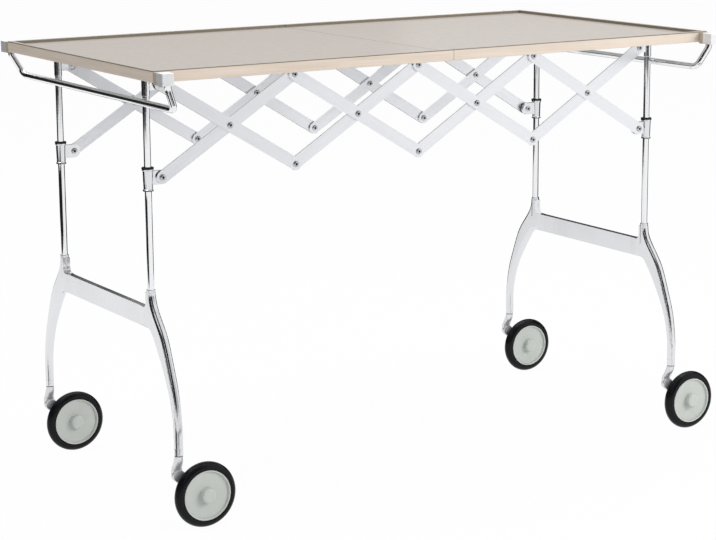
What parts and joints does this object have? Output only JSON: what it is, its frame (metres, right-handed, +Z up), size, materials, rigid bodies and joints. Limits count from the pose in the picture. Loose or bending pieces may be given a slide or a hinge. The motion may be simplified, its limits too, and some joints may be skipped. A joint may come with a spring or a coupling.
{
  "type": "folding serving cart",
  "caption": "Folding serving cart: scissor links under a hinged two-leaf tray top draw two leg frames together, rolling on swivel casters with end handles.",
  "frame": {"origin": "on the floor under the centre of the bounding box of the open cart", "axes": "+X along the tray towards the end that the wheels trail to, +Y from front to back, +Z up"},
  "size_m": [1.0322, 0.5566, 0.662],
  "materials": {
    "chromed_tube": "mirror-polished",
    "polished_casting": "polished",
    "satin_link": "satin",
    "satin_fitting": "satin",
    "steel": "bright",
    "pale_wood": "clear satin lacquer",
    "taupe_panel": "smooth satin laminate",
    "tyre": "smooth black rubber",
    "hub": "smooth pale grey"
  },
  "bodies": {
    "left_frame": {"left_leg_casting": "polished_casting", "left_handle": "chromed_tube", "left_corner_blocks": "polished_casting", "left_front_post": "chromed_tube", "left_front_post_head": "satin_fitting", "left_back_post": "chromed_tube", "left_back_post_head": "satin_fitting", "left_leaf_pins": "steel"},
    "right_frame": {"right_leg_casting": "polished_casting", "right_handle": "chromed_tube", "right_corner_blocks": "polished_casting", "right_front_post": "chromed_tube", "right_front_post_head": "satin_fitting", "right_back_post": "chromed_tube", "right_back_post_head": "satin_fitting", "right_leaf_pins": "steel"},
    "left_leaf": {"left_tray_rim": "pale_wood", "left_tray_panel": "taupe_panel", "left_seam_hinge": "steel", "seam_hinge_pins": "steel"},
    "right_leaf": {"right_tray_rim": "pale_wood", "right_tray_panel": "taupe_panel", "right_seam_hinge": "steel"},
    "drop_link_1": {"front_drop_link_1": "satin_link", "back_drop_link_1": "satin_link"},
    "rise_link_1": {"front_rise_link_1": "satin_link", "back_rise_link_1": "satin_link"},
    "drop_link_2": {"front_drop_link_2": "satin_link", "back_drop_link_2": "satin_link"},
    "rise_link_2": {"front_rise_link_2": "satin_link", "back_rise_link_2": "satin_link"},
    "drop_link_3": {"front_drop_link_3": "satin_link", "back_drop_link_3": "satin_link"},
    "rise_link_3": {"front_rise_link_3": "satin_link", "back_rise_link_3": "satin_link"},
    "drop_link_4": {"front_drop_link_4": "satin_link", "back_drop_link_4": "satin_link"},
    "rise_link_4": {"front_rise_link_4": "satin_link", "back_rise_link_4": "satin_link"},
    "left_sleeves": {"left_front_sleeve": "satin_fitting", "left_back_sleeve": "satin_fitting"},
    "right_sleeves": {"right_front_sleeve": "satin_fitting", "right_back_sleeve": "satin_fitting"},
    "left_front_caster": {"left_front_caster_arm": "polished_casting", "left_front_axle": "steel"},
    "left_front_wheel": {"left_front_hub": "hub", "left_front_tyre": "tyre"},
    "left_back_caster": {"left_back_caster_arm": "polished_casting", "left_back_axle": "steel"},
    "left_back_wheel": {"left_back_hub": "hub", "left_back_tyre": "tyre"},
    "right_front_caster": {"right_front_caster_arm": "polished_casting", "right_front_axle": "steel"},
    "right_front_wheel": {"right_front_hub": "hub", "right_front_tyre": "tyre"},
    "right_back_caster": {"right_back_caster_arm": "polished_casting", "right_back_axle": "steel"},
    "right_back_wheel": {"right_back_hub": "hub", "right_back_tyre": "tyre"}
  },
  "joints": [
    {"name": "left_leaf_lift", "type": "hinge", "parent": "left_frame", "child": "left_leaf", "pos_m": [-0.50685, 0, 0.65], "axis": [0, -1, 0], "range_deg": [0, 77.48]},
    {"name": "seam_fold", "type": "hinge", "parent": "left_leaf", "child": "right_leaf", "pos_m": [-0.0261, 0, 0.6425], "axis": [0, 1, 0], "range_deg": [0, 154.97]},
    {"name": "right_frame_pivot", "type": "hinge", "parent": "right_leaf", "child": "right_frame", "pos_m": [0.45465, 0, 0.65], "axis": [0, -1, 0], "range_deg": [0, 77.48]},
    {"name": "drop_link_1_pivot", "type": "hinge", "parent": "left_frame", "child": "drop_link_1", "pos_m": [-0.4569, 0, 0.6308], "axis": [0, 1, 0], "range_deg": [0, 51.54]},
    {"name": "rise_link_1_pivot", "type": "hinge", "parent": "drop_link_1", "child": "rise_link_1", "pos_m": [-0.3492, 0, 0.5649], "axis": [0, -1, 0], "range_deg": [0, 103.08]},
    {"name": "drop_link_2_pivot", "type": "hinge", "parent": "rise_link_1", "child": "drop_link_2", "pos_m": [-0.2415, 0, 0.6308], "axis": [0, 1, 0], "range_deg": [0, 103.08]},
    {"name": "rise_link_2_pivot", "type": "hinge", "parent": "drop_link_1", "child": "rise_link_2", "pos_m": [-0.2415, 0, 0.499], "axis": [0, -1, 0], "range_deg": [0, 103.08]},
    {"name": "rise_link_4_pivot", "type": "hinge", "parent": "right_frame", "child": "rise_link_4", "pos_m": [0.4047, 0, 0.6308], "axis": [0, -1, 0], "range_deg": [0, 51.54]},
    {"name": "drop_link_4_pivot", "type": "hinge", "parent": "rise_link_4", "child": "drop_link_4", "pos_m": [0.297, 0, 0.5649], "axis": [0, 1, 0], "range_deg": [0, 103.08]},
    {"name": "rise_link_3_pivot", "type": "hinge", "parent": "drop_link_4", "child": "rise_link_3", "pos_m": [0.1893, 0, 0.6308], "axis": [0, -1, 0], "range_deg": [0, 103.08]},
    {"name": "drop_link_3_pivot", "type": "hinge", "parent": "rise_link_4", "child": "drop_link_3", "pos_m": [0.1893, 0, 0.499], "axis": [0, 1, 0], "range_deg": [0, 103.08]},
    {"name": "left_sleeves_pivot", "type": "hinge", "parent": "rise_link_1", "child": "left_sleeves", "pos_m": [-0.4569, 0, 0.499], "axis": [0, 1, 0], "range_deg": [0, 51.54]},
    {"name": "right_sleeves_pivot", "type": "hinge", "parent": "drop_link_4", "child": "right_sleeves", "pos_m": [0.4047, 0, 0.499], "axis": [0, -1, 0], "range_deg": [0, 51.54]},
    {"name": "left_front_swivel", "type": "hinge", "parent": "left_frame", "child": "left_front_caster", "pos_m": [-0.4778, -0.224, 0.114], "axis": [0, 0, 1], "continuous": true},
    {"name": "left_front_wheel_spin", "type": "hinge", "parent": "left_front_caster", "child": "left_front_wheel", "pos_m": [-0.4353, -0.22, 0.048], "axis": [0, 1, 0], "continuous": true},
    {"name": "left_back_swivel", "type": "hinge", "parent": "left_frame", "child": "left_back_caster", "pos_m": [-0.4778, 0.224, 0.114], "axis": [0, 0, 1], "continuous": true},
    {"name": "left_back_wheel_spin", "type": "hinge", "parent": "left_back_caster", "child": "left_back_wheel", "pos_m": [-0.4353, 0.228, 0.048], "axis": [0, 1, 0], "continuous": true},
    {"name": "right_front_swivel", "type": "hinge", "parent": "right_frame", "child": "right_front_caster", "pos_m": [0.4256, -0.224, 0.114], "axis": [0, 0, 1], "continuous": true},
    {"name": "right_front_wheel_spin", "type": "hinge", "parent": "right_front_caster", "child": "right_front_wheel", "pos_m": [0.4681, -0.22, 0.048], "axis": [0, 1, 0], "continuous": true},
    {"name": "right_back_swivel", "type": "hinge", "parent": "right_frame", "child": "right_back_caster", "pos_m": [0.4256, 0.224, 0.114], "axis": [0, 0, 1], "continuous": true},
    {"name": "right_back_wheel_spin", "type": "hinge", "parent": "right_back_caster", "child": "right_back_wheel", "pos_m": [0.4681, 0.228, 0.048], "axis": [0, 1, 0], "continuous": true}
  ],
  "couplings": [
    {"joint": "seam_fold", "follows": "left_leaf_lift", "ratio": 2},
    {"joint": "right_frame_pivot", "follows": "left_leaf_lift", "ratio": 1},
    {"joint": "drop_link_1_pivot", "follows": "left_leaf_lift", "ratio": 0.66514},
    {"joint": "rise_link_1_pivot", "follows": "left_leaf_lift", "ratio": 1.3303},
    {"joint": "drop_link_2_pivot", "follows": "left_leaf_lift", "ratio": 1.3303},
    {"joint": "rise_link_2_pivot", "follows": "left_leaf_lift", "ratio": 1.3303},
    {"joint": "rise_link_4_pivot", "follows": "left_leaf_lift", "ratio": 0.66514},
    {"joint": "drop_link_4_pivot", "follows": "left_leaf_lift", "ratio": 1.3303},
    {"joint": "rise_link_3_pivot", "follows": "left_leaf_lift", "ratio": 1.3303},
    {"joint": "drop_link_3_pivot", "follows": "left_leaf_lift", "ratio": 1.3303},
    {"joint": "left_sleeves_pivot", "follows": "left_leaf_lift", "ratio": 0.66514},
    {"joint": "right_sleeves_pivot", "follows": "left_leaf_lift", "ratio": 0.66514}
  ]
}
